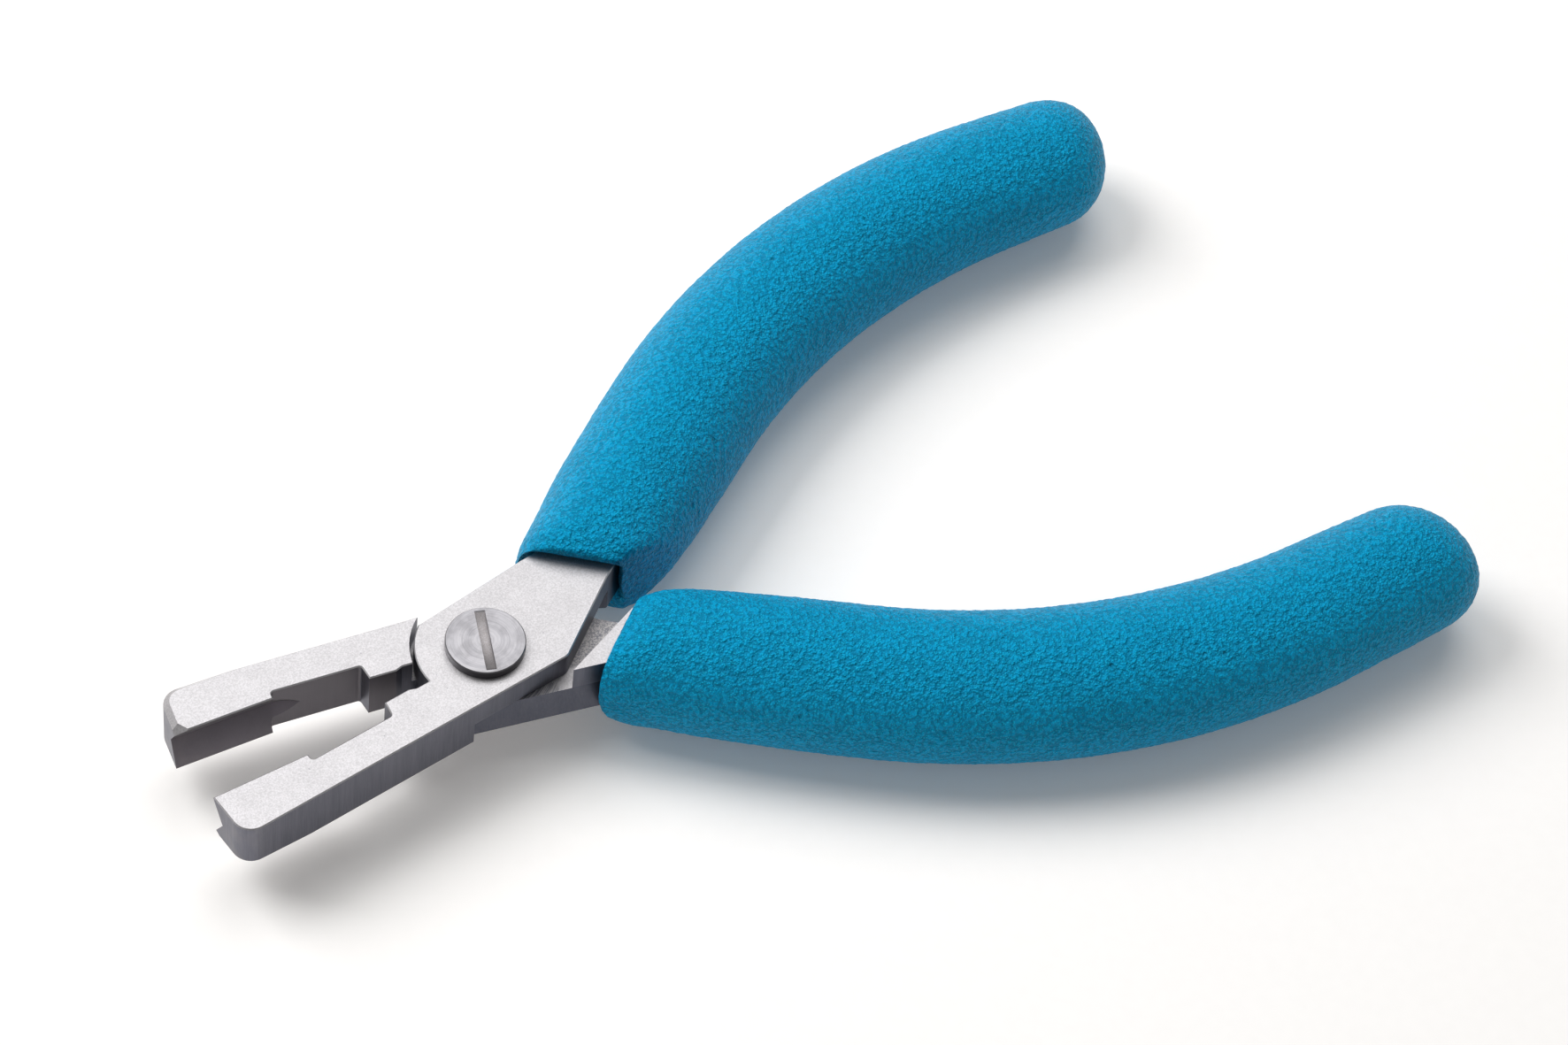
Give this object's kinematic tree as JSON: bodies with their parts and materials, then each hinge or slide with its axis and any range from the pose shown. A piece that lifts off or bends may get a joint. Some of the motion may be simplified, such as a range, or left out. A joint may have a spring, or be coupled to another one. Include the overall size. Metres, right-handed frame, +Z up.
{
  "type": "flat nose pliers",
  "caption": "Lap-joint flat nose pliers: flat V-grooved jaws, slotted pivot screw and bowed foam-sleeved handles that open on one hinge.",
  "frame": {"origin": "on the pivot axis, at the flat underside of the joint", "axes": "+Z up along the pivot axis, +X towards the handles, +Y towards the jaw of the under half"},
  "size_m": [0.1284, 0.079, 0.014],
  "materials": {
    "tool_steel": "satin blasted flats with vertically ground sides",
    "screw_steel": "turned, mid grey",
    "foam": "fine pebbled soft foam skin, teal blue"
  },
  "bodies": {
    "under": {"under_half": "tool_steel", "pivot_screw": "screw_steel", "under_grip": "foam"},
    "over": {"over_half": "tool_steel", "over_grip": "foam"}
  },
  "joints": [
    {"name": "pivot", "type": "hinge", "parent": "under", "child": "over", "pos_m": [0, 0, 0.003], "axis": [0, 0, 1], "range_deg": [-14.6, 58]}
  ]
}
